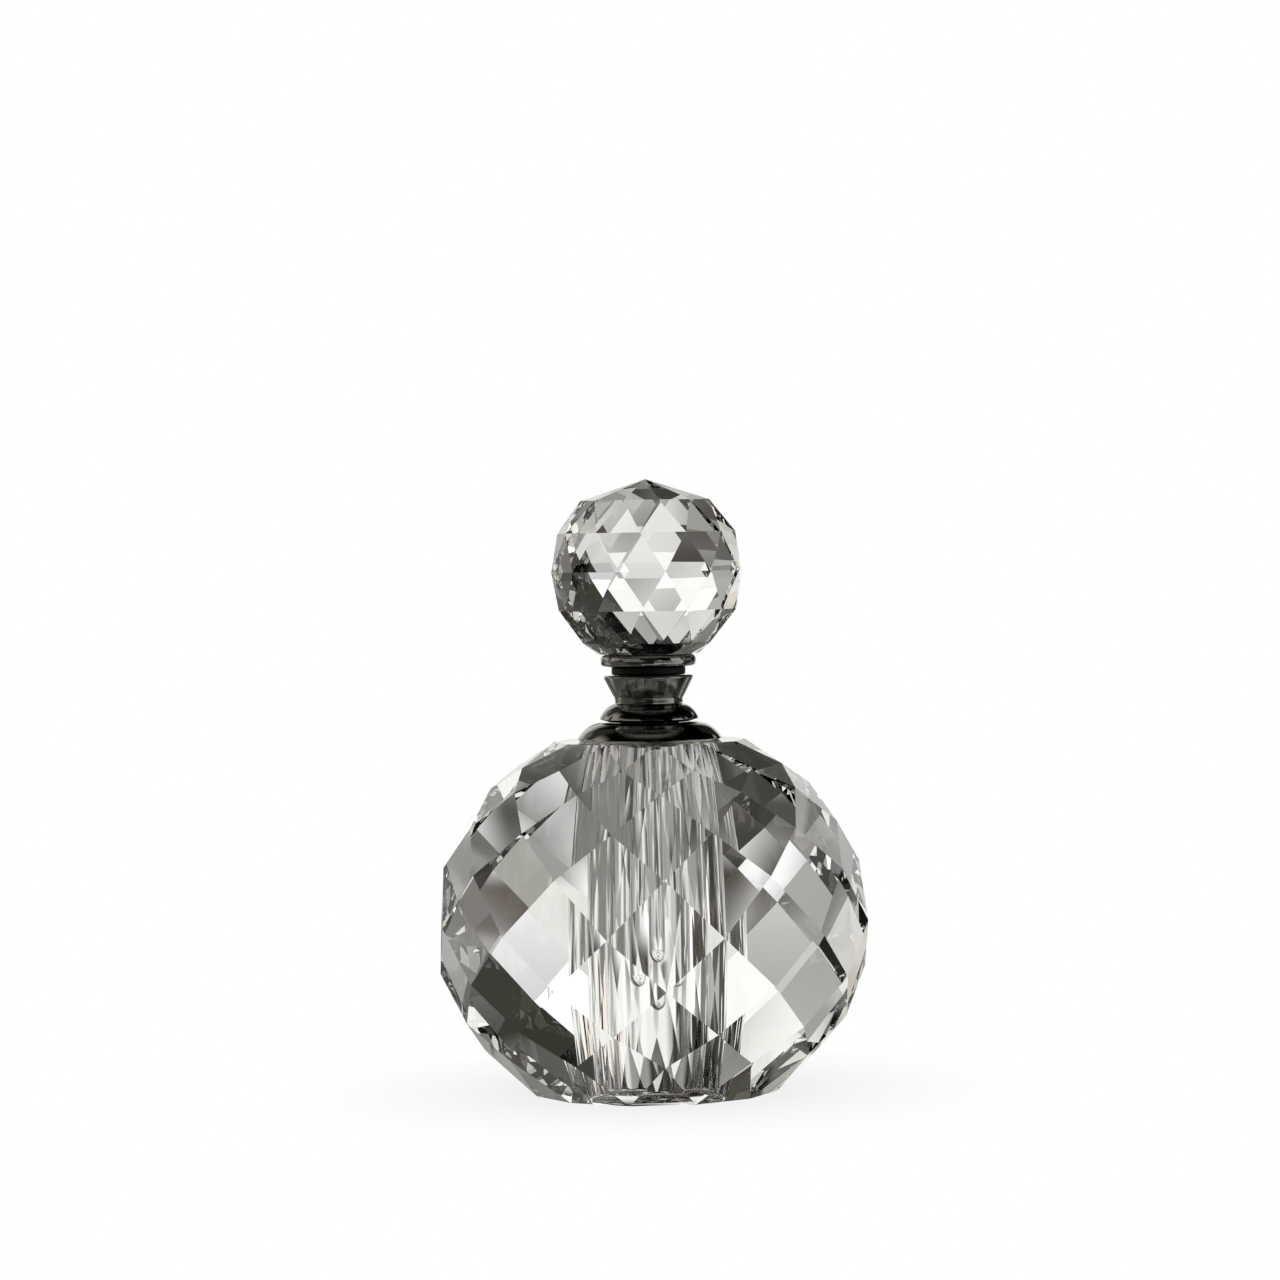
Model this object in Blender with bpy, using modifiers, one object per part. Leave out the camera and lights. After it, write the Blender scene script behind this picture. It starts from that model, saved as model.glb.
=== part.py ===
"""Cut-crystal perfume bottle with a turned metal neck and a ball stopper that carries a glass rod.

Frame: +Z up, origin at the centre of the flat base, a column of facets facing -Y.
Sizes are in millimetres and turn into metres when the meshes are made. Names ending in _Z,
_TOP or _BOTTOM are heights above the base, and names ending in _R are radii.
"""

import math

import bmesh
import bpy

MM = 0.001

# Clearances shared by the pieces
FACE_GAP = 0.05  # between two faces that rest on each other
TUBE_GAP = 0.10  # radial, between a ring and the tube or head inside it
BOND_GAP = 0.04  # radial, at the stem's shank and round the rod's adhesive

TURNED_STEPS = 36  # segments round a turned piece
WIDE_STEPS = 48  # round the bore and the collar
ROD_STEPS = 24  # round the rod and its adhesive
DOME_SEGMENTS = 10


# ---------------------------------------------------------------- scene and placing
def clear_scene():
    for obj in list(bpy.data.objects):
        bpy.data.objects.remove(obj, do_unlink=True)


def new_collection(name, hidden=False):
    collection = bpy.data.collections.new(name)
    bpy.context.scene.collection.children.link(collection)
    collection.hide_render = hidden
    return collection


def new_object(name, data, origin_z, collection, parent, mat=None):
    """An object with its origin at origin_z in the shared frame, whatever its parents' heights."""
    obj = bpy.data.objects.new(name, data)
    collection.objects.link(obj)
    parent_z = 0.0
    ancestor = parent
    while ancestor is not None:
        parent_z += ancestor.location.z
        ancestor = ancestor.parent
    obj.parent = parent
    obj.location = (0.0, 0.0, origin_z * MM - parent_z)
    if mat:
        data.materials.append(mat)
    return obj


def empty(name, origin_z, collection, parent=None):
    obj = new_object(name, None, origin_z, collection, parent)
    obj.empty_display_size = 5 * MM
    return obj


# ---------------------------------------------------------------- materials
def material(name, colour, roughness, metallic=0.0, transmission=0.0, ior=1.5):
    mat = bpy.data.materials.new(name)
    mat.use_nodes = True
    shader = mat.node_tree.nodes["Principled BSDF"]
    shader.inputs["Base Color"].default_value = (*colour, 1.0)
    shader.inputs["Roughness"].default_value = roughness
    shader.inputs["Metallic"].default_value = metallic
    shader.inputs["Transmission Weight"].default_value = transmission
    shader.inputs["IOR"].default_value = ior
    # The same look in the solid viewport
    mat.diffuse_color = (*colour, 1.0)
    mat.metallic = metallic
    mat.roughness = roughness
    return mat


def clear_crystal():
    colour = (0.95, 0.96, 0.96)
    return material("clear_crystal", colour, roughness=0.0, transmission=1.0, ior=1.52)


def rod_glass():
    colour = (0.95, 0.97, 0.97)
    return material("rod_glass", colour, roughness=0.0, transmission=1.0, ior=1.47)


def dark_chrome():
    return material("dark_chrome", colour=(0.22, 0.22, 0.22), roughness=0.12, metallic=1.0)


def stem_metal():
    return material("stem_metal", colour=(0.45, 0.45, 0.44), roughness=0.25, metallic=1.0)


def liner_plastic():
    return material("liner_plastic", colour=(0.82, 0.83, 0.82), roughness=0.35)


def black_rubber():
    return material("black_rubber", colour=(0.015, 0.015, 0.015), roughness=0.5)


def clear_epoxy():
    colour = (0.85, 0.85, 0.82)
    return material("clear_epoxy", colour, roughness=0.1, transmission=0.9, ior=1.5)


# ---------------------------------------------------------------- turned solids
def arc(centre, radius, start, end, segments):
    """Points (r, z) on a circle between two angles in degrees, 0 pointing outwards."""
    points = []
    for i in range(segments + 1):
        angle = math.radians(start + (end - start) * i / segments)
        points.append((centre[0] + radius * math.cos(angle), centre[1] + radius * math.sin(angle)))
    return points


def dome(centre, radius, edge_z):
    """The arc from a dome's top, outwards and down to the height of its edge."""
    edge_angle = math.degrees(math.asin((edge_z - centre[1]) / radius))
    return arc(centre, radius, 90, edge_angle, DOME_SEGMENTS)


def turned(name, origin_z, profile, collection, mat, parent, steps=TURNED_STEPS):
    """A solid turned about Z from (r, z) points in the shared frame, running down its outer side.

    A profile that starts on the axis ends there too; any other is closed into a ring."""
    points = [(r * MM, 0.0, (z - origin_z) * MM) for r, z in profile]
    edges = [(i, i + 1) for i in range(len(points) - 1)]
    is_ring = profile[0][0] > 0
    if is_ring:
        edges.append((len(points) - 1, 0))
    outline_mesh = bpy.data.meshes.new(name + "_profile")
    outline_mesh.from_pydata(points, edges, [])
    outline = bpy.data.objects.new(name + "_outline", outline_mesh)
    collection.objects.link(outline)

    screw = outline.modifiers.new("turn", "SCREW")
    screw.axis = "Z"
    screw.angle = math.tau
    screw.steps = steps
    screw.render_steps = steps
    screw.use_merge_vertices = True
    screw.merge_threshold = 1e-6
    graph = bpy.context.evaluated_depsgraph_get()
    solid = bpy.data.meshes.new_from_object(outline.evaluated_get(graph))
    bpy.data.objects.remove(outline, do_unlink=True)

    solid.name = name
    solid.shade_smooth()
    solid.set_sharp_from_angle(angle=math.radians(30))
    return new_object(name, solid, origin_z, collection, parent, mat)


# ---------------------------------------------------------------- faceted stones
COLUMNS = 12  # corners in each ring, on the body and on the ball
HALF_PITCH = math.pi / COLUMNS


def corner_ring(radius, z, turn):
    """The corners of one ring; an angle of 0 faces -Y."""
    angles = [turn + 2 * HALF_PITCH * k for k in range(COLUMNS)]
    return [(radius * math.sin(angle), -radius * math.cos(angle), z) for angle in angles]


def faceted(name, origin_z, corners, collection, mat, parent):
    """A convex stone from its (x, y, z) corners in the shared frame, its flat facets whole."""
    bm = bmesh.new()
    for x, y, z in corners:
        bm.verts.new((x * MM, y * MM, (z - origin_z) * MM))
    bmesh.ops.convex_hull(bm, input=bm.verts)
    loose = [vert for vert in bm.verts if not vert.link_faces]
    bmesh.ops.delete(bm, geom=loose, context="VERTS")
    bmesh.ops.dissolve_limit(
        bm,
        angle_limit=math.radians(0.5),
        verts=bm.verts,
        edges=bm.edges,
        use_dissolve_boundaries=False,
    )
    bmesh.ops.recalc_face_normals(bm, faces=bm.faces)
    mesh = bpy.data.meshes.new(name)
    bm.to_mesh(mesh)
    bm.free()
    return new_object(name, mesh, origin_z, collection, parent, mat)


# ---------------------------------------------------------------- crystal body
# Heights of the rings of facet corners, base to top; each is turned half a pitch from the last
BODY_RING_Z = (0.0, 6.77, 12.06, 19.20, 27.23, 36.12, 42.92, 48.67, 52.08, 55.82)
BASE_CORNER_R = 19.83  # first ring: corners of the flat base
SECOND_CORNER_R = 27.06
BODY_TOP = BODY_RING_Z[-1]

BORE_R = 7.95
BORE_FLOOR_Z = 5.8
BORE_FLOOR_ROUND_R = 0.9
BORE_MOUTH_CHAMFER = 0.25
CUTTER_OVERSHOOT = 2.0  # how far the cutter stands above the body


def body_ring_radii():
    """Radii that make every four-cornered facet flat.

    A facet's two side corners lie half a pitch to each side of its tips, so their midpoint has
    to lie on the line between the tips."""
    radii = [BASE_CORNER_R, SECOND_CORNER_R]
    for k in range(1, len(BODY_RING_Z) - 1):
        below, level, above = BODY_RING_Z[k - 1 : k + 2]
        middle = radii[k] * math.cos(HALF_PITCH)
        slope = (middle - radii[k - 1]) / (level - below)
        radii.append(middle + slope * (above - level))
    return radii


def bore_cutter(collection, parent):
    mouth_r = BORE_R + BORE_MOUTH_CHAMFER
    cutter_top = BODY_TOP + CUTTER_OVERSHOOT
    round_centre = (BORE_R - BORE_FLOOR_ROUND_R, BORE_FLOOR_Z + BORE_FLOOR_ROUND_R)
    profile = [
        (0.0, cutter_top),
        (mouth_r, cutter_top),
        (mouth_r, BODY_TOP),
        (BORE_R, BODY_TOP - BORE_MOUTH_CHAMFER),
        *arc(round_centre, BORE_FLOOR_ROUND_R, 0, -90, 5),
        (0.0, BORE_FLOOR_Z),
    ]
    cutter = turned("bore_cutter", 0.0, profile, collection, None, parent, WIDE_STEPS)
    cutter.hide_render = True
    cutter.display_type = "WIRE"
    return cutter


def crystal_body(collection, mat, parent, cutters):
    """The faceted body, with a blind bore cut from the top."""
    corners = []
    for k, (radius, z) in enumerate(zip(body_ring_radii(), BODY_RING_Z)):
        corners += corner_ring(radius, z, turn=0.0 if k % 2 else HALF_PITCH)
    body = faceted("crystal_body", 0.0, corners, collection, mat, parent)
    bore = body.modifiers.new("bore", "BOOLEAN")
    bore.operation = "DIFFERENCE"
    bore.solver = "EXACT"
    bore.object = bore_cutter(cutters, parent)


# ---------------------------------------------------------------- neck, fixed to the body
COLLAR_BOND_R, COLLAR_BOND_BORE_R = 10.90, 8.45
COLLAR_BOND_BOTTOM = BODY_TOP + FACE_GAP
COLLAR_BOND_TOP = COLLAR_BOND_BOTTOM + 0.12

TUBE_R, TUBE_BORE_R, TUBE_TOP = 4.65, 3.95, 64.85
TUBE_FOOT_R, TUBE_FOOT_BOTTOM = 6.30, 55.70
TUBE_FOOT_TOP = TUBE_FOOT_BOTTOM + 0.60
RING_BORE_R = TUBE_R + TUBE_GAP  # bore of the collar, bead and mouth round the tube

COLLAR_EDGE_Z = 56.20
COLLAR_DOME_R = 4.90
COLLAR_DOME_CENTRE = (7.20, 53.92)  # (r, z)
COLLAR_FOOT_R, COLLAR_FOOT_BORE_R = 11.15, 11.02
SKIRT_R, SKIRT_BORE_R, SKIRT_BOTTOM, SKIRT_CHAMFER = 7.60, 6.70, 51.0, 0.3

BEAD_DOME_R = 3.25
BEAD_DOME_CENTRE = (RING_BORE_R, 58.52)  # (r, z)
BEAD_EDGE_Z, BEAD_BOTTOM, BEAD_BOTTOM_R = 59.30, 58.90, 6.60

MOUTH_BOTTOM, MOUTH_TOP = 61.83, 66.30
MOUTH_RIM_R, MOUTH_WAIST_R = 7.15, 5.45
MOUTH_CHAMFER = 0.22
MOUTH_RIM_DEPTH = 0.40  # from the mouth's top to where the flare begins
MOUTH_FLARE = ((5.74, 63.10), (5.56, 62.68), (MOUTH_WAIST_R, 62.25))  # (r, z), downwards

LINER_SEAT_Z = TUBE_TOP + FACE_GAP
LINER_RIM_R, LINER_R, LINER_BORE_R, WIPER_R = 4.90, 3.85, 3.15, 2.25
LINER_BOTTOM, LINER_TOP = 56.80, MOUTH_TOP - 0.10
LINER_END_CHAMFER = 0.40
LINER_MOUTH_FLARE, LINER_FLARE_BOTTOM = 0.20, MOUTH_TOP - 0.40
WIPER_TOP, WIPER_CONE_TOP = LINER_BOTTOM + 0.50, LINER_BOTTOM + 1.10


def collar_bond(collection, mat, parent):
    """Adhesive film between the body's top face and the collar."""
    profile = [
        (COLLAR_BOND_R, COLLAR_BOND_TOP),
        (COLLAR_BOND_R, COLLAR_BOND_BOTTOM),
        (COLLAR_BOND_BORE_R, COLLAR_BOND_BOTTOM),
        (COLLAR_BOND_BORE_R, COLLAR_BOND_TOP),
    ]
    turned("collar_bond", COLLAR_BOND_BOTTOM, profile, collection, mat, parent)


def neck_collar(collection, mat, parent):
    """A dome with a relieved underside, and a skirt that centres it in the bore."""
    foot_z = BODY_TOP + FACE_GAP
    relief_z = COLLAR_BOND_TOP + FACE_GAP
    shoulder_z = TUBE_FOOT_TOP + FACE_GAP
    profile = [
        (RING_BORE_R, COLLAR_DOME_CENTRE[1] + COLLAR_DOME_R),
        *dome(COLLAR_DOME_CENTRE, COLLAR_DOME_R, COLLAR_EDGE_Z),
        (COLLAR_FOOT_R, foot_z),
        (COLLAR_FOOT_BORE_R, foot_z),
        (COLLAR_FOOT_BORE_R, relief_z),
        (SKIRT_R, relief_z),
        (SKIRT_R, SKIRT_BOTTOM + SKIRT_CHAMFER),
        (SKIRT_R - SKIRT_CHAMFER, SKIRT_BOTTOM),
        (SKIRT_BORE_R, SKIRT_BOTTOM),
        (SKIRT_BORE_R, shoulder_z),
        (RING_BORE_R, shoulder_z),
    ]
    turned("neck_collar", BODY_TOP, profile, collection, mat, parent, WIDE_STEPS)


def neck_bead(collection, mat, parent):
    """Domed ring above the collar."""
    profile = [
        *dome(BEAD_DOME_CENTRE, BEAD_DOME_R, BEAD_EDGE_Z),
        (BEAD_BOTTOM_R, BEAD_BOTTOM),
        (RING_BORE_R, BEAD_BOTTOM),
    ]
    turned("neck_bead", BEAD_BOTTOM, profile, collection, mat, parent)


def neck_mouth(collection, mat, parent):
    """Flared mouth, recessed at the top for the liner's rim."""
    recess_r = LINER_RIM_R + TUBE_GAP
    profile = [
        (recess_r, MOUTH_TOP),
        (MOUTH_RIM_R - MOUTH_CHAMFER, MOUTH_TOP),
        (MOUTH_RIM_R, MOUTH_TOP - MOUTH_CHAMFER),
        (MOUTH_RIM_R, MOUTH_TOP - MOUTH_RIM_DEPTH),
        *MOUTH_FLARE,
        (MOUTH_WAIST_R, MOUTH_BOTTOM),
        (RING_BORE_R, MOUTH_BOTTOM),
        (RING_BORE_R, LINER_SEAT_Z),
        (recess_r, LINER_SEAT_Z),
    ]
    turned("neck_mouth", MOUTH_BOTTOM, profile, collection, mat, parent)


def neck_tube(collection, mat, parent):
    """Ties collar, bead and mouth together, with a foot that bears up under the collar."""
    profile = [
        (TUBE_BORE_R, TUBE_TOP),
        (TUBE_R, TUBE_TOP),
        (TUBE_R, TUBE_FOOT_TOP),
        (TUBE_FOOT_R, TUBE_FOOT_TOP),
        (TUBE_FOOT_R, TUBE_FOOT_BOTTOM),
        (TUBE_BORE_R, TUBE_FOOT_BOTTOM),
    ]
    turned("neck_tube", TUBE_FOOT_BOTTOM, profile, collection, mat, parent)


def mouth_liner(collection, mat, parent):
    """The stopper's sleeve seats in the liner, and its lower lip wipes the rod."""
    rim_bottom = LINER_SEAT_Z + FACE_GAP
    profile = [
        (LINER_BORE_R + LINER_MOUTH_FLARE, LINER_TOP),
        (LINER_RIM_R, LINER_TOP),
        (LINER_RIM_R, rim_bottom),
        (LINER_R, rim_bottom),
        (LINER_R, LINER_BOTTOM + LINER_END_CHAMFER),
        (LINER_R - LINER_END_CHAMFER, LINER_BOTTOM),
        (WIPER_R, LINER_BOTTOM),
        (WIPER_R, WIPER_TOP),
        (LINER_BORE_R, WIPER_CONE_TOP),
        (LINER_BORE_R, LINER_FLARE_BOTTOM),
    ]
    turned("mouth_liner", LINER_BOTTOM, profile, collection, mat, parent)


# ---------------------------------------------------------------- seal ring
SEAL_R, SEAL_BORE_R, SEAL_EDGE_R = 5.90, 3.20, 0.30
SEAL_BOTTOM, SEAL_TOP = MOUTH_TOP + FACE_GAP, 67.65


def seal_ring(collection, mat, parent):
    """Lies between the mouth and the stopper's cup."""
    edge_r = SEAL_R - SEAL_EDGE_R
    profile = [
        (SEAL_BORE_R, SEAL_TOP),
        *arc((edge_r, SEAL_TOP - SEAL_EDGE_R), SEAL_EDGE_R, 90, 0, 3),
        *arc((edge_r, SEAL_BOTTOM + SEAL_EDGE_R), SEAL_EDGE_R, 0, -90, 3),
        (SEAL_BORE_R, SEAL_BOTTOM),
    ]
    turned("seal_ring", SEAL_BOTTOM, profile, collection, mat, parent)


# ---------------------------------------------------------------- stopper
CUP_R, CUP_BOTTOM, CUP_TOP = 7.63, SEAL_TOP + FACE_GAP, 69.55
CUP_EDGE_WIDTH = 0.85  # radial width of the rounded edge
CUP_EDGE_POWER = 2.6  # superellipse power; 2 would be an ellipse
CUP_EDGE_SEGMENTS = 12

STEM_HEAD_R, STEM_R, STEM_BORE_R = 4.50, 2.60, 2.15
STEM_HEAD_TOP = CUP_TOP - 0.04
STEM_HEAD_BOTTOM = STEM_HEAD_TOP - 0.78
STEM_BOTTOM, STEM_BORE_TOP = 58.70, 66.20

SLEEVE_R, SLEEVE_RIB_R, SLEEVE_END_R = 3.02, 3.08, 2.75
SLEEVE_BOTTOM, SLEEVE_TAPER = 58.20, 1.2
RIB_Z = (65.0, 62.4)  # mid-heights of the sealing ribs
RIB_HALF_FOOT, RIB_HALF_CREST = 0.30, 0.12

ROD_R, ROD_TIP_Z, ROD_TOP, ROD_CHAMFER = 1.92, 20.50, 65.85, 0.2
ROD_BOND_BOTTOM = STEM_BOTTOM + 0.3
ROD_BOND_END_GAP = 0.05  # above the rod, and below the end of the stem's bore

BALL_BOND_R = 6.95
BALL_BOND_BOTTOM = CUP_TOP + FACE_GAP / 2
BALL_BOND_TOP = BALL_BOND_BOTTOM + 0.08

BALL_SEAT_Z = BALL_BOND_TOP + FACE_GAP / 2
BALL_R = 15.48
BALL_LATITUDES = (46.7, 23.4, 0.0, -23.5, -47.3, -58.4)  # degrees, crown to cut face
BALL_APEX = 14.60  # above the ball's centre
BALL_TURN = math.radians(7.7)  # the ball's first ring of corners, from -Y


def cup_edge():
    """The cup's squarish rounded rim, half a superellipse from top to bottom."""
    centre_r = CUP_R - CUP_EDGE_WIDTH
    centre_z = (CUP_BOTTOM + CUP_TOP) / 2
    half_height = (CUP_TOP - CUP_BOTTOM) / 2
    exponent = 2 / CUP_EDGE_POWER
    points = []
    for i in range(CUP_EDGE_SEGMENTS + 1):
        angle = math.radians(90 - 180 * i / CUP_EDGE_SEGMENTS)
        out = abs(math.cos(angle)) ** exponent
        up = math.copysign(abs(math.sin(angle)) ** exponent, math.sin(angle))
        points.append((centre_r + CUP_EDGE_WIDTH * out, centre_z + half_height * up))
    return points


def stopper_cup(collection, mat, parent):
    """Carries the ball."""
    counterbore_r = STEM_HEAD_R + TUBE_GAP
    counterbore_z = STEM_HEAD_BOTTOM - FACE_GAP
    hole_r = STEM_R + TUBE_GAP
    profile = [
        (counterbore_r, CUP_TOP),
        *cup_edge(),
        (hole_r, CUP_BOTTOM),
        (hole_r, counterbore_z),
        (counterbore_r, counterbore_z),
    ]
    turned("stopper_cup", CUP_BOTTOM, profile, collection, mat, parent)


def stopper_stem(collection, mat, parent):
    """A head sunk in the cup, and a hollow shank that holds the rod."""
    profile = [
        (0.0, STEM_HEAD_TOP),
        (STEM_HEAD_R, STEM_HEAD_TOP),
        (STEM_HEAD_R, STEM_HEAD_BOTTOM),
        (STEM_R, STEM_HEAD_BOTTOM),
        (STEM_R, STEM_BOTTOM),
        (STEM_BORE_R, STEM_BOTTOM),
        (STEM_BORE_R, STEM_BORE_TOP),
        (0.0, STEM_BORE_TOP),
    ]
    turned("stopper_stem", STEM_BOTTOM, profile, collection, mat, parent)


def stopper_sleeve(collection, mat, parent):
    """Plastic sleeve over the shank, with two sealing ribs and a lip under the shank's end."""
    bore_r = STEM_R + BOND_GAP
    sleeve_top = CUP_BOTTOM - FACE_GAP
    lip_top = STEM_BOTTOM - FACE_GAP
    profile = [(bore_r, sleeve_top), (SLEEVE_R, sleeve_top)]
    for rib_z in RIB_Z:
        profile += [
            (SLEEVE_R, rib_z + RIB_HALF_FOOT),
            (SLEEVE_RIB_R, rib_z + RIB_HALF_CREST),
            (SLEEVE_RIB_R, rib_z - RIB_HALF_CREST),
            (SLEEVE_R, rib_z - RIB_HALF_FOOT),
        ]
    profile += [
        (SLEEVE_R, SLEEVE_BOTTOM + SLEEVE_TAPER),
        (SLEEVE_END_R, SLEEVE_BOTTOM),
        (STEM_BORE_R, SLEEVE_BOTTOM),
        (STEM_BORE_R, lip_top),
        (bore_r, lip_top),
    ]
    turned("stopper_sleeve", SLEEVE_BOTTOM, profile, collection, mat, parent)


def rod_bond(collection, mat, parent):
    """Adhesive over and round the rod's top, inside the shank."""
    outer_r, inner_r = STEM_BORE_R - BOND_GAP, ROD_R + BOND_GAP
    top, underside = STEM_BORE_TOP - ROD_BOND_END_GAP, ROD_TOP + ROD_BOND_END_GAP
    profile = [
        (0.0, top),
        (outer_r, top),
        (outer_r, ROD_BOND_BOTTOM),
        (inner_r, ROD_BOND_BOTTOM),
        (inner_r, underside),
        (0.0, underside),
    ]
    turned("rod_bond", ROD_BOND_BOTTOM, profile, collection, mat, parent, ROD_STEPS)


def dabber_rod(collection, mat, parent):
    """Solid glass rod with a round tip."""
    profile = [
        (0.0, ROD_TOP),
        (ROD_R - ROD_CHAMFER, ROD_TOP),
        (ROD_R, ROD_TOP - ROD_CHAMFER),
        *arc((0.0, ROD_TIP_Z + ROD_R), ROD_R, 0, -84, 8),
        (0.0, ROD_TIP_Z),
    ]
    turned("dabber_rod", ROD_TIP_Z, profile, collection, mat, parent, ROD_STEPS)


def ball_bond(collection, mat, parent):
    """Adhesive film under the ball."""
    profile = [
        (0.0, BALL_BOND_TOP),
        (BALL_BOND_R, BALL_BOND_TOP),
        (BALL_BOND_R, BALL_BOND_BOTTOM),
        (0.0, BALL_BOND_BOTTOM),
    ]
    turned("ball_bond", BALL_BOND_BOTTOM, profile, collection, mat, parent)


def stopper_ball(collection, mat, parent):
    """Faceted ball, cut flat where it is bonded to the cup."""
    centre_z = BALL_SEAT_Z - BALL_R * math.sin(math.radians(BALL_LATITUDES[-1]))
    corners = [(0.0, 0.0, centre_z + BALL_APEX)]
    for k, degrees in enumerate(BALL_LATITUDES):
        latitude = math.radians(degrees)
        turn = BALL_TURN + (HALF_PITCH if k % 2 else 0.0)
        z = centre_z + BALL_R * math.sin(latitude)
        corners += corner_ring(BALL_R * math.cos(latitude), z, turn)
    faceted("stopper_ball", BALL_SEAT_Z, corners, collection, mat, parent)


# ---------------------------------------------------------------- assembly
def build():
    clear_scene()
    parts = new_collection("perfume_bottle")
    cutters = new_collection("cutters", hidden=True)

    crystal = clear_crystal()
    chrome = dark_chrome()
    steel = stem_metal()
    plastic = liner_plastic()
    epoxy = clear_epoxy()

    # The lift axis carries the seal ring, and the turn axis on it carries the stopper
    bottle = empty("bottle_frame", 0.0, parts)
    lift = empty("lift_axis", MOUTH_TOP, parts, bottle)
    turn = empty("turn_axis", MOUTH_TOP, parts, lift)

    crystal_body(parts, crystal, bottle, cutters)
    collar_bond(parts, epoxy, bottle)
    neck_collar(parts, chrome, bottle)
    neck_bead(parts, chrome, bottle)
    neck_mouth(parts, chrome, bottle)
    neck_tube(parts, steel, bottle)
    mouth_liner(parts, plastic, bottle)

    seal_ring(parts, black_rubber(), lift)

    stopper_cup(parts, chrome, turn)
    stopper_stem(parts, steel, turn)
    stopper_sleeve(parts, plastic, turn)
    rod_bond(parts, epoxy, turn)
    dabber_rod(parts, rod_glass(), turn)
    ball_bond(parts, epoxy, turn)
    stopper_ball(parts, crystal, turn)


build()
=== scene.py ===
"""Looks for the cut-crystal perfume bottle: facets, turned metal, glass rod, liner, seal and studio.

The bottle stands on z = 0 with its axis on Z, and the camera looks from the -Y side. The dabber
rod hangs from the stopper into the bore of the body. Sizes are in millimetres and are the CAD
part's own; meshes are made in metres in the shared frame. Profiles are (r, z) points.
"""

import math

import bmesh
import bpy
from mathutils import Matrix, Vector

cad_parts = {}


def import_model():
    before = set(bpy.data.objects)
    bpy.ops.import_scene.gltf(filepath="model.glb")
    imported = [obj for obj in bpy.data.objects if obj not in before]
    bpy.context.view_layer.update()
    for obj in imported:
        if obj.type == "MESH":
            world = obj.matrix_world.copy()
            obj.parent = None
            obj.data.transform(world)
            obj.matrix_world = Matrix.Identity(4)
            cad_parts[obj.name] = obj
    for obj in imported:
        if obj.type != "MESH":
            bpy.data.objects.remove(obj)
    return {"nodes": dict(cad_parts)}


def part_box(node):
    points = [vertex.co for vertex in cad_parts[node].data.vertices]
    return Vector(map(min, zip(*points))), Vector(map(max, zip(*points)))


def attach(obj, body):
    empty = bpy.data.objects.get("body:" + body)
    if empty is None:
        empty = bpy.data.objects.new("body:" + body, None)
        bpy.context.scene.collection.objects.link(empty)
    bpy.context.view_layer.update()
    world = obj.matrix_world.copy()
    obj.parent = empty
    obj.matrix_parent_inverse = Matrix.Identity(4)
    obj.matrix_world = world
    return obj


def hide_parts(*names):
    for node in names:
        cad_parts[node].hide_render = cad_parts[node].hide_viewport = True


MM = 0.001
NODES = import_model()["nodes"]
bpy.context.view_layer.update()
scene = bpy.context.scene

# Fits shared by the pieces
GAP = 0.05  # clearance between neighbouring pieces
BODY_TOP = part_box("crystal_body")[1].z / MM
BORE_R, BORE_FLOOR = 7.95, 5.8
BORE_ROUND, BORE_CHAMFER = 0.9, 0.25
RING_BORE = 4.75  # hole radius of the collar, bead and mouth
TUBE_R, TUBE_TOP, TUBE_FLANGE_TOP = 4.65, 64.85, 56.30
BOND_TOP = BODY_TOP + GAP + 0.12
MOUTH_TOP, MOUTH_LEDGE = 66.30, TUBE_TOP + GAP
SEAL_TOP = 67.65
CUP_RECESS_R, CUP_RECESS_Z = 4.60, 68.68
STEM_BORE_R, STEM_BORE_TOP, STEM_FOOT = 2.15, 66.20, 58.70
ROD_R, ROD_TOP, ROD_TIP = 1.92, 65.85, 20.50


# ------------------------------------------------------------------ mesh helpers
def link(name, data):
    obj = bpy.data.objects.new(name, data)
    scene.collection.objects.link(obj)
    return obj


def bmesh_object(name, bm):
    mesh = bpy.data.meshes.new(name)
    bm.to_mesh(mesh)
    bm.free()
    return link(name, mesh)


def squarish(centre, half_width, half_height, start, end, count, power=2.6):
    """Points (r, z) on a superellipse between two angles in degrees; 0 points outwards."""
    found = []
    for i in range(count + 1):
        angle = math.radians(start + (end - start) * i / count)
        across, up = math.cos(angle), math.sin(angle)
        found.append(
            (
                centre[0] + half_width * math.copysign(abs(across) ** (2 / power), across),
                centre[1] + half_height * math.copysign(abs(up) ** (2 / power), up),
            )
        )
    return found


def arc(centre, radius, start, end, count):
    """Points (r, z) on a circle between two angles in degrees."""
    return squarish(centre, radius, radius, start, end, count, power=2)


def end_angle(centre_z, radius, z):
    """The angle in degrees at which a circle reaches the height z on its outer side."""
    return math.degrees(math.asin((z - centre_z) / radius))


def broken(profile, looped, width, least_turn=25.0):
    """The profile with its sharp corners broken by a small round, as a turned piece has."""
    found = []
    for i, point in enumerate(profile):
        if not looped and i in (0, len(profile) - 1):
            found.append(point)
            continue
        corner = Vector(point)
        before, after = profile[i - 1], profile[(i + 1) % len(profile)]
        back = Vector((before[0] - point[0], before[1] - point[1]))
        ahead = Vector((after[0] - point[0], after[1] - point[1]))
        too_short = back.length < 1e-6 or ahead.length < 1e-6
        if too_short or math.degrees(math.pi - back.angle(ahead)) < least_turn:
            found.append(point)
            continue
        cut = min(width, back.length * 0.4, ahead.length * 0.4)
        first, last = corner + back.normalized() * cut, corner + ahead.normalized() * cut
        middle = (first + last) * 0.5 * 0.4 + corner * 0.6
        found += [tuple(first), tuple(middle), tuple(last)]
    return found


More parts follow.
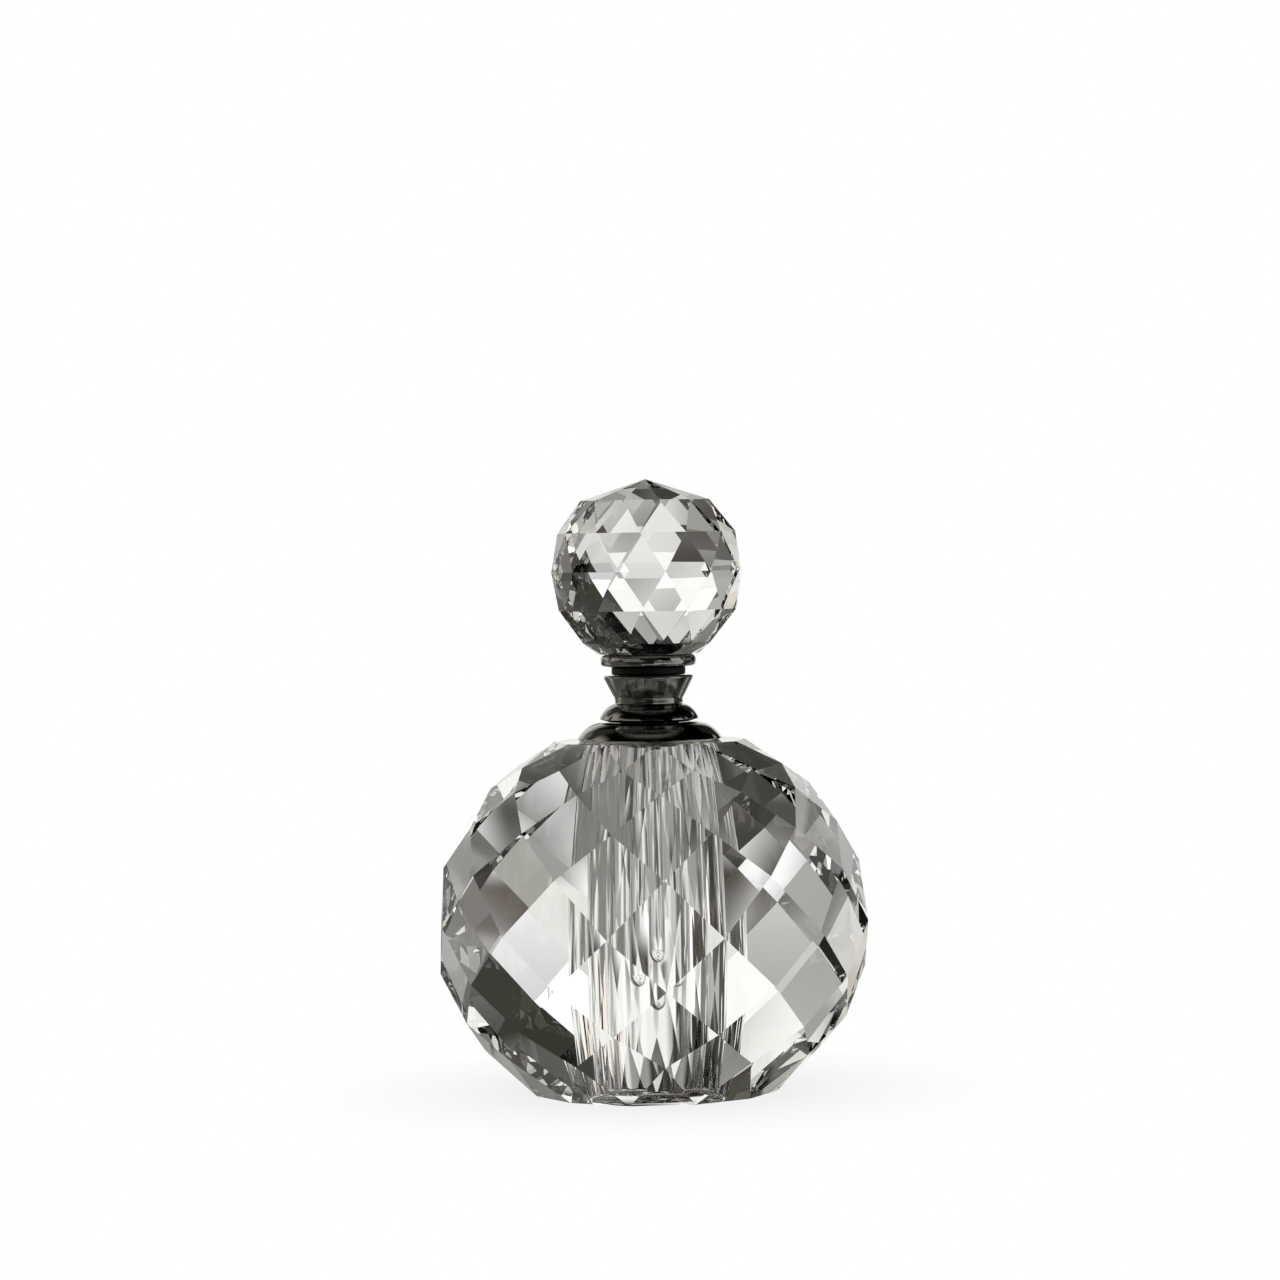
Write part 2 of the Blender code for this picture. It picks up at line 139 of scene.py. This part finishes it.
def turned(name, profile, looped=True, steps=144, edge=0.05, smooth=32.0):
    """A turned solid from its profile, which runs down the outer side.

    A looped profile closes on itself; the others start and end on the axis. Edge is the width of
    the broken corners, and smooth the largest angle in degrees that still shades smooth.
    """
    if edge:
        profile = broken(profile, looped, edge)
    bm = bmesh.new()
    rings = []
    for r, z in profile:
        if r < 1e-6:
            rings.append([bm.verts.new((0.0, 0.0, z * MM))])
            continue
        ring = []
        for k in range(steps):
            angle = math.tau * k / steps
            ring.append(bm.verts.new((r * MM * math.cos(angle), r * MM * math.sin(angle), z * MM)))
        rings.append(ring)
    pairs = list(zip(rings, rings[1:])) + ([(rings[-1], rings[0])] if looped else [])
    for top, low in pairs:
        for k in range(steps):
            n = (k + 1) % steps
            if len(top) == 1:
                bm.faces.new((top[0], low[k], low[n]))
            elif len(low) == 1:
                bm.faces.new((top[k], low[0], top[n]))
            else:
                bm.faces.new((top[k], low[k], low[n], top[n]))
    bmesh.ops.recalc_face_normals(bm, faces=bm.faces)
    obj = bmesh_object(name, bm)
    obj.data.shade_smooth()
    obj.data.set_sharp_from_angle(angle=math.radians(smooth))
    return obj


def cut_stone(name, node, least_r):
    """The stone's outside from its CAD node, as whole flat facets.

    Points within least_r of the axis are left out, except those above keep_above.
    """
    keep_above = 80
    bm = bmesh.new()
    for vertex in NODES[node].data.vertices:
        place = vertex.co
        if math.hypot(place.x, place.y) > least_r * MM or place.z > keep_above * MM:
            bm.verts.new(place)
    bmesh.ops.remove_doubles(bm, verts=bm.verts, dist=2e-6)
    bmesh.ops.convex_hull(bm, input=bm.verts)
    loose = [vertex for vertex in bm.verts if not vertex.link_faces]
    bmesh.ops.delete(bm, geom=loose, context="VERTS")
    bmesh.ops.dissolve_limit(
        bm,
        angle_limit=math.radians(0.6),
        verts=bm.verts,
        edges=bm.edges,
        use_dissolve_boundaries=False,
    )
    bmesh.ops.recalc_face_normals(bm, faces=bm.faces)
    obj = bmesh_object(name, bm)
    obj.data.shade_flat()
    return obj


def cut_with(obj, cutter):
    """Takes the cutter out of obj for good, and drops the cutter."""
    modifier = obj.modifiers.new("cut", "BOOLEAN")
    modifier.operation = "DIFFERENCE"
    modifier.solver = "EXACT"
    modifier.object = cutter
    evaluated = obj.evaluated_get(bpy.context.evaluated_depsgraph_get())
    mesh = bpy.data.meshes.new_from_object(evaluated)
    obj.modifiers.clear()
    old = obj.data
    obj.data = mesh
    mesh.name = old.name + "_cut"
    bpy.data.meshes.remove(old)
    bpy.data.objects.remove(cutter, do_unlink=True)


# ------------------------------------------------------------------ crystal
def crystal_body():
    """The faceted body with its bore: the wall and floor shade smooth, the mouth chamfer flat."""
    stone = cut_stone("crystal_body_cut", "crystal_body", least_r=9.0)
    mouth_r = BORE_R + BORE_CHAMFER
    above = BODY_TOP + 2.0
    bore = turned(
        "bore_tool",
        [(0.0, above), (mouth_r, above), (mouth_r, BODY_TOP), (BORE_R, BODY_TOP - BORE_CHAMFER)]
        + arc((BORE_R - BORE_ROUND, BORE_FLOOR + BORE_ROUND), BORE_ROUND, 0, -90, 10)
        + [(0.0, BORE_FLOOR)],
        looped=False,
        steps=360,
        edge=0,
    )
    cut_with(stone, bore)
    smooth_r, smooth_top = (BORE_R + 0.01) * MM, (BODY_TOP - 0.3) * MM
    for face in stone.data.polygons:
        centre = face.center
        face.use_smooth = math.hypot(centre.x, centre.y) < smooth_r and centre.z < smooth_top
    return stone


body = crystal_body()
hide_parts("crystal_body")
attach(body, "bottle")

ball = cut_stone("stopper_ball_cut", "stopper_ball", least_r=0.0)
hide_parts("stopper_ball")
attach(ball, "stopper")

# ------------------------------------------------------------------ turned pieces
# Domed collar on the shoulder, recessed below for its bond and for the tube's flange
COLLAR_R, COLLAR_Z, COLLAR_ROUND = 7.20, 53.92, 4.90
collar = turned(
    "neck_collar_turned",
    [(RING_BORE, COLLAR_Z + COLLAR_ROUND)]
    + arc(
        (COLLAR_R, COLLAR_Z), COLLAR_ROUND, 90, end_angle(COLLAR_Z, COLLAR_ROUND, 56.20), 28
    )
    + [(11.15, BODY_TOP + GAP), (11.02, BODY_TOP + GAP), (11.02, BOND_TOP + GAP)]
    + [(7.60, BOND_TOP + GAP), (7.60, 51.30), (7.30, 51.00), (6.70, 51.00)]
    + [(6.70, TUBE_FLANGE_TOP + GAP), (RING_BORE, TUBE_FLANGE_TOP + GAP)],
    steps=192,
)

# Rounded bead on the collar
BEAD_Z, BEAD_ROUND = 58.52, 3.25
bead = turned(
    "neck_bead_turned",
    arc((RING_BORE, BEAD_Z), BEAD_ROUND, 90, end_angle(BEAD_Z, BEAD_ROUND, 59.30), 24)
    + [(6.60, 58.90), (RING_BORE, 58.90)],
    steps=160,
)

# Flared mouth, with a ledge for the liner's flange
mouth = turned(
    "neck_mouth_turned",
    [(5.00, MOUTH_TOP), (6.93, MOUTH_TOP), (7.15, 66.08), (7.15, 65.90), (5.78, 63.18)]
    + arc((6.35, 62.42), 0.90, 157, 182, 6)
    + [(5.45, 62.25), (5.45, 61.83), (RING_BORE, 61.83)]
    + [(RING_BORE, MOUTH_LEDGE), (5.00, MOUTH_LEDGE)],
    steps=160,
)

# Tube through the neck rings, flanged at its foot
tube = turned(
    "neck_tube_turned",
    [(3.95, TUBE_TOP), (TUBE_R, TUBE_TOP), (TUBE_R, TUBE_FLANGE_TOP)]
    + [(6.30, TUBE_FLANGE_TOP), (6.30, 55.70), (3.95, 55.70)],
)

# Plastic liner inside the tube
LINER_FLANGE_Z = MOUTH_LEDGE + GAP
liner = turned(
    "mouth_liner_moulded",
    [(3.35, 66.20), (4.90, 66.20), (4.90, LINER_FLANGE_Z), (3.85, LINER_FLANGE_Z)]
    + [(3.85, 57.20), (3.45, 56.80), (2.25, 56.80), (2.25, 57.30), (3.15, 57.90), (3.15, 65.90)],
    edge=0.08,
)

# Flat seal between the mouth and the stopper cup, rounded on its outer edge
SEAL_FOOT, SEAL_ROUND, SEAL_ROUND_R = MOUTH_TOP + GAP, 0.30, 5.60
seal = turned(
    "seal_ring_moulded",
    [(3.20, SEAL_TOP)]
    + arc((SEAL_ROUND_R, SEAL_TOP - SEAL_ROUND), SEAL_ROUND, 90, 0, 8)
    + arc((SEAL_ROUND_R, SEAL_FOOT + SEAL_ROUND), SEAL_ROUND, 0, -90, 8)
    + [(3.20, SEAL_FOOT)],
)

# Cup under the stopper ball, with a squarish rim
CUP_Z, CUP_HALF_HEIGHT = 68.625, 0.925
cup = turned(
    "stopper_cup_turned",
    [(CUP_RECESS_R, CUP_Z + CUP_HALF_HEIGHT)]
    + squarish((6.78, CUP_Z), 0.85, CUP_HALF_HEIGHT, 90, -90, 36)
    + [(2.70, CUP_Z - CUP_HALF_HEIGHT), (2.70, CUP_RECESS_Z), (CUP_RECESS_R, CUP_RECESS_Z)],
    steps=160,
)

# Hollow stem, open below, whose flange lies in the cup's recess
STEM_R, STEM_TOP, STEM_FLANGE_R, STEM_FLANGE_Z = 2.60, 69.51, 4.50, CUP_RECESS_Z + GAP
stem = turned(
    "stopper_stem_turned",
    [(0.0, STEM_TOP), (STEM_FLANGE_R, STEM_TOP), (STEM_FLANGE_R, STEM_FLANGE_Z)]
    + [(STEM_R, STEM_FLANGE_Z), (STEM_R, STEM_FOOT), (STEM_BORE_R, STEM_FOOT)]
    + [(STEM_BORE_R, STEM_BORE_TOP), (0.0, STEM_BORE_TOP)],
    looped=False,
)

# Sleeve round the stem, with two low ribs
SLEEVE_R, SLEEVE_BORE_R = 3.02, 2.64
RIB_HEIGHTS, RIB_RISE, RIB_HALF, RIB_STEPS = (65.0, 62.4), 0.06, 0.30, 8
sleeve_profile = [(SLEEVE_BORE_R, SEAL_TOP), (SLEEVE_R, SEAL_TOP)]
for rib_z in RIB_HEIGHTS:
    for i in range(RIB_STEPS + 1):
        part = i / RIB_STEPS
        rib_r = SLEEVE_R + RIB_RISE * math.sin(math.pi * part)
        sleeve_profile.append((rib_r, rib_z + RIB_HALF - 2 * RIB_HALF * part))
sleeve_profile += [(SLEEVE_R, 59.40), (2.75, 58.20), (STEM_BORE_R, 58.20)]
sleeve_profile += [(STEM_BORE_R, STEM_FOOT - GAP), (SLEEVE_BORE_R, STEM_FOOT - GAP)]
sleeve = turned("stopper_sleeve_moulded", sleeve_profile, edge=0.04)

# Glass dabber rod with a round tip
rod = turned(
    "dabber_rod_drawn",
    [(0.0, ROD_TOP), (ROD_R - 0.20, ROD_TOP), (ROD_R, ROD_TOP - 0.20)]
    + arc((0.0, ROD_TIP + ROD_R), ROD_R, 0, -87, 24)
    + [(0.0, ROD_TIP)],
    looped=False,
    steps=128,
    edge=0,
    smooth=40,
)

# Adhesive between the rod and the stem's bore
ROD_BOND_R, ROD_BOND_TOP, ROD_BOND_BORE_R = 2.11, STEM_BORE_TOP - GAP, ROD_R + 0.04
rod_bond = turned(
    "rod_bond_cured",
    [(0.0, ROD_BOND_TOP), (ROD_BOND_R, ROD_BOND_TOP), (ROD_BOND_R, 59.00)]
    + [(ROD_BOND_BORE_R, 59.00), (ROD_BOND_BORE_R, ROD_TOP + GAP), (0.0, ROD_TOP + GAP)],
    looped=False,
    edge=0.02,
)

# Adhesive between the body and the collar
collar_bond = turned(
    "collar_bond_cured",
    [(10.90, BOND_TOP), (10.94, BOND_TOP - 0.06), (10.90, BODY_TOP + GAP)]
    + [(8.45, BODY_TOP + GAP), (8.45, BOND_TOP)],
    steps=160,
    edge=0,
)

# Adhesive between the cup and the ball
ball_bond = turned(
    "ball_bond_cured",
    [(0.0, 69.655), (6.93, 69.655), (6.97, 69.615), (6.93, 69.575), (0.0, 69.575)],
    looped=False,
    edge=0,
)

for piece, node, ridden in (
    (collar, "neck_collar", "bottle"),
    (bead, "neck_bead", "bottle"),
    (mouth, "neck_mouth", "bottle"),
    (tube, "neck_tube", "bottle"),
    (liner, "mouth_liner", "bottle"),
    (collar_bond, "collar_bond", "bottle"),
    (seal, "seal_ring", "seal"),
    (cup, "stopper_cup", "stopper"),
    (stem, "stopper_stem", "stopper"),
    (sleeve, "stopper_sleeve", "stopper"),
    (rod, "dabber_rod", "stopper"),
    (rod_bond, "rod_bond", "stopper"),
    (ball_bond, "ball_bond", "stopper"),
):
    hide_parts(node)
    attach(piece, ridden)


# ------------------------------------------------------------------ shader helpers
def add_node(tree, kind, inputs=None, **settings):
    """A new node. Inputs go by name or number, and each takes a value or a socket to link."""
    node = tree.nodes.new(kind)
    for name, value in settings.items():
        setattr(node, name, value)
    for key, value in (inputs or {}).items():
        if isinstance(value, bpy.types.NodeSocket):
            tree.links.new(value, node.inputs[key])
        else:
            node.inputs[key].default_value = value
    return node


def new_material(name):
    material = bpy.data.materials.new(name)
    material.use_nodes = True
    material.node_tree.nodes.clear()
    return material, material.node_tree


def surface(tree, shader):
    add_node(tree, "ShaderNodeOutputMaterial", {"Surface": shader})


def principled(tree, inputs):
    surface(tree, add_node(tree, "ShaderNodeBsdfPrincipled", inputs).outputs["BSDF"])


def noise(tree, scale, detail=3.0, stretch=(1, 1, 1)):
    place = add_node(tree, "ShaderNodeTexCoord").outputs["Object"]
    mapping = add_node(tree, "ShaderNodeMapping", {"Vector": place, "Scale": stretch})
    inputs = {"Vector": mapping.outputs["Vector"], "Scale": scale, "Detail": detail}
    return add_node(tree, "ShaderNodeTexNoise", inputs).outputs["Fac"]


def remap(tree, value, low, high, start=0.35, end=0.65, **settings):
    """Low to high as the value goes from start to end."""
    inputs = {"Value": value, "From Min": start, "From Max": end, "To Min": low, "To Max": high}
    return add_node(tree, "ShaderNodeMapRange", inputs, **settings).outputs["Result"]


def mix_colors(tree, factor, low, high):
    inputs = {"A": low, "B": high, "Factor": factor}
    return add_node(tree, "ShaderNodeMix", inputs, data_type="RGBA").outputs["Result"]


def tint(tree, value, low, high):
    return mix_colors(tree, value, (*low, 1.0), (*high, 1.0))


def calculate(tree, operation, *values):
    inputs = dict(enumerate(values))
    return add_node(tree, "ShaderNodeMath", inputs, operation=operation).outputs[0]


# ------------------------------------------------------------------ materials
def glass(name, ior, low, high, rough):
    """Clear glass with a faint cloud between two tints, and patches of slight roughness."""
    material, tree = new_material(name)
    cloud = noise(tree, scale=55.0, detail=2.0)
    wear = noise(tree, scale=240.0, detail=4.0)
    principled(
        tree,
        {
            "Transmission Weight": 1.0,
            "IOR": ior,
            "Base Color": tint(tree, cloud, low, high),
            "Roughness": remap(tree, wear, low=0.0, high=rough, start=0.55, end=0.8),
        },
    )
    return material


def metal(name, low, high, rough_low, rough_high):
    """Metal turned on a lathe: reflections smear along the axis, over faint turning rings."""
    material, tree = new_material(name)
    wear = noise(tree, scale=900.0, detail=5.0, stretch=(1, 1, 6))
    rings = noise(tree, scale=60.0, detail=6.0, stretch=(0.2, 0.2, 90.0))
    round_axis = add_node(tree, "ShaderNodeTangent", direction_type="RADIAL", axis="Z")
    bump = add_node(
        tree, "ShaderNodeBump", {"Strength": 0.05, "Distance": 0.00002, "Height": rings}
    )
    principled(
        tree,
        {
            "Metallic": 1.0,
            "Base Color": tint(tree, noise(tree, scale=180.0), low, high),
            "Roughness": remap(tree, wear, rough_low, rough_high),
            "Tangent": round_axis.outputs["Tangent"],
            "Anisotropic": 0.9,
            "Anisotropic Rotation": 0.25,
            "Normal": bump.outputs["Normal"],
        },
    )
    return material


def liner_plastic():
    material, tree = new_material("liner_plastic")
    cloud, wear = noise(tree, scale=120.0), noise(tree, scale=500.0, detail=4.0)
    principled(
        tree,
        {
            "Base Color": tint(tree, cloud, low=(0.74, 0.755, 0.745), high=(0.83, 0.84, 0.83)),
            "Roughness": remap(tree, wear, low=0.28, high=0.42),
            "Subsurface Weight": 0.25,
            "Subsurface Radius": (0.9, 0.9, 0.85),
            "Subsurface Scale": 0.001,
        },
    )
    return material


def seal_rubber():
    material, tree = new_material("seal_rubber")
    cloud, wear = noise(tree, scale=300.0), noise(tree, scale=700.0, detail=4.0)
    principled(
        tree,
        {
            # Black rubber, with painted shade: the base colour is darker than rubber, so the seal
            # also stands in for the shade in the gap between the mouth and the stopper cup.
            "Base Color": tint(tree, cloud, low=(0.003, 0.003, 0.003), high=(0.007, 0.007, 0.007)),
            "Roughness": remap(tree, wear, low=0.45, high=0.62),
            "Specular IOR Level": 0.2,
        },
    )
    return material


def adhesive():
    material, tree = new_material("adhesive")
    cloud, wear = noise(tree, scale=200.0), noise(tree, scale=800.0)
    principled(
        tree,
        {
            "Transmission Weight": 0.35,
            "IOR": 1.5,
            "Base Color": tint(tree, cloud, low=(0.26, 0.26, 0.25), high=(0.34, 0.34, 0.33)),
            "Roughness": remap(tree, wear, low=0.30, high=0.45),
        },
    )
    return material


crystal = dict(ior=1.52, low=(0.979, 0.978, 0.975), high=(0.99, 0.99, 0.988), rough=0.012)
body_crystal = glass("body_crystal", **crystal)
ball_crystal = glass("ball_crystal", **crystal)
rod_glass = glass(
    "rod_glass", ior=1.475, low=(0.975, 0.985, 0.982), high=(0.99, 0.995, 0.992), rough=0.01
)
dark_chrome = metal(
    "dark_chrome",
    low=(0.19, 0.188, 0.182),
    high=(0.26, 0.256, 0.246),
    rough_low=0.085,
    rough_high=0.14,
)
inner_metal = metal(
    "inner_metal",
    low=(0.42, 0.42, 0.41),
    high=(0.55, 0.545, 0.53),
    rough_low=0.22,
    rough_high=0.34,
)
plastic = liner_plastic()
rubber_with_painted_shade = seal_rubber()
epoxy = adhesive()

for piece, material, slot in (
    (body, body_crystal, "body_crystal"),
    (ball, ball_crystal, "ball_crystal"),
    (rod, rod_glass, "rod_glass"),
    (collar, dark_chrome, "neck_metal"),
    (bead, dark_chrome, "neck_metal"),
    (mouth, dark_chrome, "neck_metal"),
    (cup, dark_chrome, "stopper_metal"),
    (tube, inner_metal, "inner_metal"),
    (stem, inner_metal, "inner_metal"),
    (liner, plastic, "liner_plastic"),
    (sleeve, plastic, "liner_plastic"),
    (seal, rubber_with_painted_shade, "seal_rubber"),
    (rod_bond, epoxy, "adhesive"),
    (collar_bond, epoxy, "adhesive"),
    (ball_bond, epoxy, "adhesive"),
):
    piece.data.materials.clear()
    piece.data.materials.append(material)

# ------------------------------------------------------------------ studio
# Crystal shows only what stands round it, so the studio is a black tent with soft cards and dark
# flags, over a sweep that glows with painted shadow and painted pools of light. The tent is out of
# the camera's sight, and the set turns with the camera. Directions are in degrees: 0 is towards
# the camera, 90 to its right, 180 behind the piece. Later rows lie over earlier ones.
TENT_RADIUS = 4.0  # metres
TENT = (0.00, 0.00, 0.00)
# Card: direction, height, half width, half height, softness across, softness up (degrees), colour
CARDS = (
    (0, 90.0, 185.0, 20.0, 5.0, 9.0, (0.37, 0.36, 0.34)),
    (-121, 17.0, 45.4, 9.8, 1.5, 8.6, (1.20, 1.19, 1.13)),
    (173, 7.9, 23.1, 7.3, 1.5, 4.9, (1.20, 1.20, 1.20)),
    (-151, 13.2, 40.4, 11.1, 7.5, 10.0, (1.07, 1.06, 1.01)),
    (-176, 10.0, 4.5, 2.7, 1.8, 1.7, (0.00, 0.00, 0.00)),
    (-137, 39.2, 15.4, 17.7, 1.6, 1.5, (0.08, 0.08, 0.06)),
    (-59, 21.9, 37.3, 7.3, 2.4, 1.6, (0.70, 0.68, 0.59)),
    (-16, 2.0, 48.0, 7.7, 2.0, 2.9, (0.66, 0.66, 0.59)),
    (139, 21.7, 19.9, 17.6, 2.3, 1.5, (0.04, 0.04, 0.03)),
    (-142, 8.5, 6.0, 23.5, 6.1, 1.5, (0.43, 0.44, 0.41)),
    (93, 1.1, 34.3, 9.9, 1.5, 4.4, (0.42, 0.43, 0.41)),
    (120, 19.6, 22.7, 3.4, 1.6, 1.5, (1.20, 1.20, 1.20)),
    (-104, 14.5, 15.1, 27.3, 1.9, 10.0, (1.00, 0.94, 0.85)),
    (121, 27.8, 16.2, 12.3, 1.5, 1.5, (0.00, 0.00, 0.00)),
    (-109, 16.2, 4.4, 14.5, 1.5, 7.8, (0.00, 0.00, 0.00)),
    (72, 13.5, 14.8, 12.4, 1.5, 1.8, (1.20, 1.20, 1.13)),
    (6, 15.0, 17.0, 20.0, 3.0, 4.0, (0.03, 0.03, 0.03)),
)
SWEEP = (0.07, 0.06, 0.05)
# Floor shade, painted shadow and painted light on the sweep: the same columns, with log10 of the
# distance in metres in place of the height
SHADES = (
    (-95, -1.57, 81, 0.38, 2, 0.25, (0.62, 0.60, 0.56)),
    (40, -1.24, 160, 0.21, 1, 0.03, (0.06, 0.06, 0.05)),
    (148, -1.07, 24, 0.13, 13, 0.14, (1.20, 1.20, 1.20)),
    (-97, -0.54, 44, 0.74, 4, 0.06, (0.22, 0.22, 0.20)),
    (169, -0.32, 21, 0.53, 2, 0.05, (0.87, 0.87, 0.82)),
    (176, -0.39, 6, 0.16, 9, 0.03, (0.11, 0.11, 0.11)),
    (111, -1.07, 52, 0.20, 4, 0.21, (0.03, 0.03, 0.02)),
    (-120, -0.39, 10, 0.49, 9, 0.03, (0.93, 0.92, 0.85)),
    (107, -1.49, 45, 0.32, 3, 0.23, (0.91, 0.92, 0.86)),
    (72, -0.68, 91, 0.13, 7, 0.06, (0.11, 0.09, 0.08)),
    (-158, -0.84, 7, 0.20, 5, 0.06, (1.18, 1.20, 1.19)),
    (54, -0.04, 40, 0.88, 3, 0.09, (1.20, 1.20, 1.20)),
    (-153, -0.79, 7, 0.25, 3, 0.14, (0.38, 0.38, 0.35)),
    (6, -1.27, 24, 0.26, 2, 0.11, (1.20, 1.20, 1.18)),
    (-173, 0.38, 21, 0.44, 20, 0.19, (1.20, 1.20, 1.20)),
    (131, -0.91, 11, 0.49, 1, 0.04, (0.25, 0.26, 0.24)),
    (176, -0.70, 3, 0.28, 2, 0.07, (1.20, 1.20, 1.17)),
    (23, -1.41, 99, 0.10, 1, 0.04, (0.02, 0.02, 0.02)),
    (178, -0.77, 5, 0.08, 4, 0.12, (0.02, 0.02, 0.02)),
    (132, -0.64, 2, 0.41, 1, 0.04, (1.20, 1.20, 1.20)),
    (159, -0.44, 5, 0.48, 4, 0.10, (0.61, 0.62, 0.59)),
    (8, -0.23, 57, 0.33, 20, 0.04, (0.02, 0.02, 0.02)),
    (159, -0.95, 11, 0.13, 1, 0.05, (0.37, 0.37, 0.34)),
)
CARD_INPUTS = (
    "At direction", "At height", "Half width", "Half height", "Soft across", "Soft up"
)


def soft_card_group():
    """A node group that lays one soft-edged card over the colour behind it."""
    group = bpy.data.node_groups.new("soft_card", "ShaderNodeTree")
    sockets = [(name, "NodeSocketFloat") for name in ("Direction", "Height", *CARD_INPUTS)]
    sockets += [(name, "NodeSocketColor") for name in ("Behind", "Card")]
    for name, kind in sockets:
        group.interface.new_socket(name, in_out="INPUT", socket_type=kind)
    group.interface.new_socket("Seen", in_out="OUTPUT", socket_type="NodeSocketColor")
    given = add_node(group, "NodeGroupInput").outputs

    def falls(value, half, soft):
        """1 inside half, 0 outside it, with a smooth edge of twice the softness."""
        outer = calculate(group, "ADD", half, soft)
        full = calculate(group, "SUBTRACT", half, soft)
        return remap(group, value, 0.0, 1.0, outer, full, interpolation_type="SMOOTHSTEP")

    turn = calculate(group, "SUBTRACT", given["Direction"], given["At direction"])
    turn = calculate(group, "ABSOLUTE", calculate(group, "WRAP", turn, 180.0, -180.0))
    rise = calculate(group, "SUBTRACT", given["Height"], given["At height"])
    rise = calculate(group, "ABSOLUTE", rise)
    across = falls(turn, given["Half width"], given["Soft across"])
    up = falls(rise, given["Half height"], given["Soft up"])
    cover = calculate(group, "MULTIPLY", across, up)
    seen = mix_colors(group, cover, given["Behind"], given["Card"])
    add_node(group, "NodeGroupOutput", {"Seen": seen})
    return group


def place_cards(tree, on_floor, base, cards):
    """The colour seen in each direction from the piece, or at each place on the floor."""
    place = add_node(tree, "ShaderNodeTexCoord").outputs["Object"]
    x, y, z = add_node(tree, "ShaderNodeSeparateXYZ", {0: place}).outputs
    towards = calculate(tree, "MULTIPLY", y, -1.0)
    direction = calculate(tree, "DEGREES", calculate(tree, "ARCTAN2", x, towards))
    x_squared, y_squared = (calculate(tree, "MULTIPLY", side, side) for side in (x, y))
    distance = calculate(tree, "SQRT", calculate(tree, "ADD", x_squared, y_squared))
    if on_floor:
        height = calculate(tree, "LOGARITHM", distance, 10.0)
    else:
        height = calculate(tree, "DEGREES", calculate(tree, "ARCTAN2", z, distance))
    seen = add_node(tree, "ShaderNodeRGB").outputs[0]
    seen.default_value = (*base, 1.0)
    for *shape, colour in cards:
        inputs = dict(zip(CARD_INPUTS, shape))
        inputs.update(Direction=direction, Height=height, Behind=seen, Card=(*colour, 1.0))
        seen = add_node(tree, "ShaderNodeGroup", inputs, node_tree=soft_card).outputs["Seen"]
    return seen


def glow(tree, colour):
    return add_node(tree, "ShaderNodeEmission", {"Color": colour}).outputs[0]


def build_tent():
    """A dome round the set, cut off just below the floor."""
    bm = bmesh.new()
    bmesh.ops.create_uvsphere(bm, u_segments=96, v_segments=48, radius=TENT_RADIUS)
    bmesh.ops.bisect_plane(
        bm,
        geom=bm.verts[:] + bm.edges[:] + bm.faces[:],
        plane_co=(0, 0, -0.02),
        plane_no=(0, 0, -1),
        clear_outer=True,
    )
    tent = bmesh_object("studio_tent", bm)
    tent.visible_camera = False
    tent.visible_shadow = False
    tent.parent = rig
    material, tree = new_material("tent_light")
    surface(tree, glow(tree, place_cards(tree, False, TENT, CARDS)))
    material.cycles.emission_sampling = "NONE"
    tent.data.materials.append(material)


def build_floor():
    """White to the camera with a painted contact shadow; to every other ray, the sweep with its
    painted shadows and pools of light.
    """
    bm = bmesh.new()
    bmesh.ops.create_circle(bm, cap_ends=True, segments=128, radius=TENT_RADIUS + 0.02)
    floor = bmesh_object("studio_floor", bm)
    floor.location.z = -0.0001
    floor.parent = rig
    material, tree = new_material("pale_floor")
    # The sweep glows with the floor shades: painted shadow and painted pools of light round the
    # piece.
    sweep = glow(tree, place_cards(tree, True, SWEEP, SHADES))
    # Painted contact shadow: the floor glows white to the camera and an ambient occlusion node
    # darkens it near the piece; nothing casts it.
    contact_shadow_occlusion = add_node(tree, "ShaderNodeAmbientOcclusion", {"Distance": 0.03}, samples=8)
    shade = remap(tree, contact_shadow_occlusion.outputs["AO"], low=0.87, high=1.0, start=0.25, end=1.0)
    to_camera = add_node(tree, "ShaderNodeLightPath").outputs["Is Camera Ray"]
    choose = add_node(tree, "ShaderNodeMixShader", {0: to_camera, 1: sweep, 2: glow(tree, shade)})
    surface(tree, choose.outputs[0])
    material.cycles.emission_sampling = "NONE"
    floor.data.materials.append(material)


rig = link("studio_rig", None)
soft_card = soft_card_group()
build_tent()
build_floor()

world = bpy.data.worlds.new("studio")
scene.world = world
world.use_nodes = True
background = world.node_tree.nodes["Background"]
background.inputs["Color"].default_value = (1, 1, 1, 1)
background.inputs["Strength"].default_value = 1.0

# ------------------------------------------------------------------ camera and render
# The camera stands DISTANCE metres from TARGET, and looks at AIM.
TARGET = Vector((0.0, 0.0, 0.02555))
AIM = Vector((-0.00127, 0.0, 0.07185))
DISTANCE = 0.662
ELEVATION, AZIMUTH, ROLL = math.radians(5.56), math.radians(-3.3), math.radians(0.95)

camera_data = bpy.data.cameras.new("camera")
camera = link("camera", camera_data)
away = Vector(
    (
        math.sin(AZIMUTH) * math.cos(ELEVATION),
        -math.cos(AZIMUTH) * math.cos(ELEVATION),
        math.sin(ELEVATION),
    )
)
camera.location = TARGET + away * DISTANCE
facing = (AIM - camera.location).to_track_quat("-Z", "Y").to_matrix().to_4x4()
roll = Matrix.Rotation(-ROLL, 4, "Z")
camera.matrix_world = Matrix.Translation(camera.location) @ facing @ roll
camera_data.sensor_width = 36.0
camera_data.lens = 116.26
camera_data.clip_start = 0.01
camera_data.clip_end = 20.0
scene.camera = camera

# the set turns with the camera
follow = rig.constraints.new("LOCKED_TRACK")
follow.target = camera
follow.track_axis = "TRACK_NEGATIVE_Y"
follow.lock_axis = "LOCK_Z"

scene.view_settings.view_transform = "Standard"
scene.cycles.max_bounces = 24
scene.cycles.transmission_bounces = 24
scene.cycles.glossy_bounces = 12
scene.cycles.transparent_max_bounces = 8
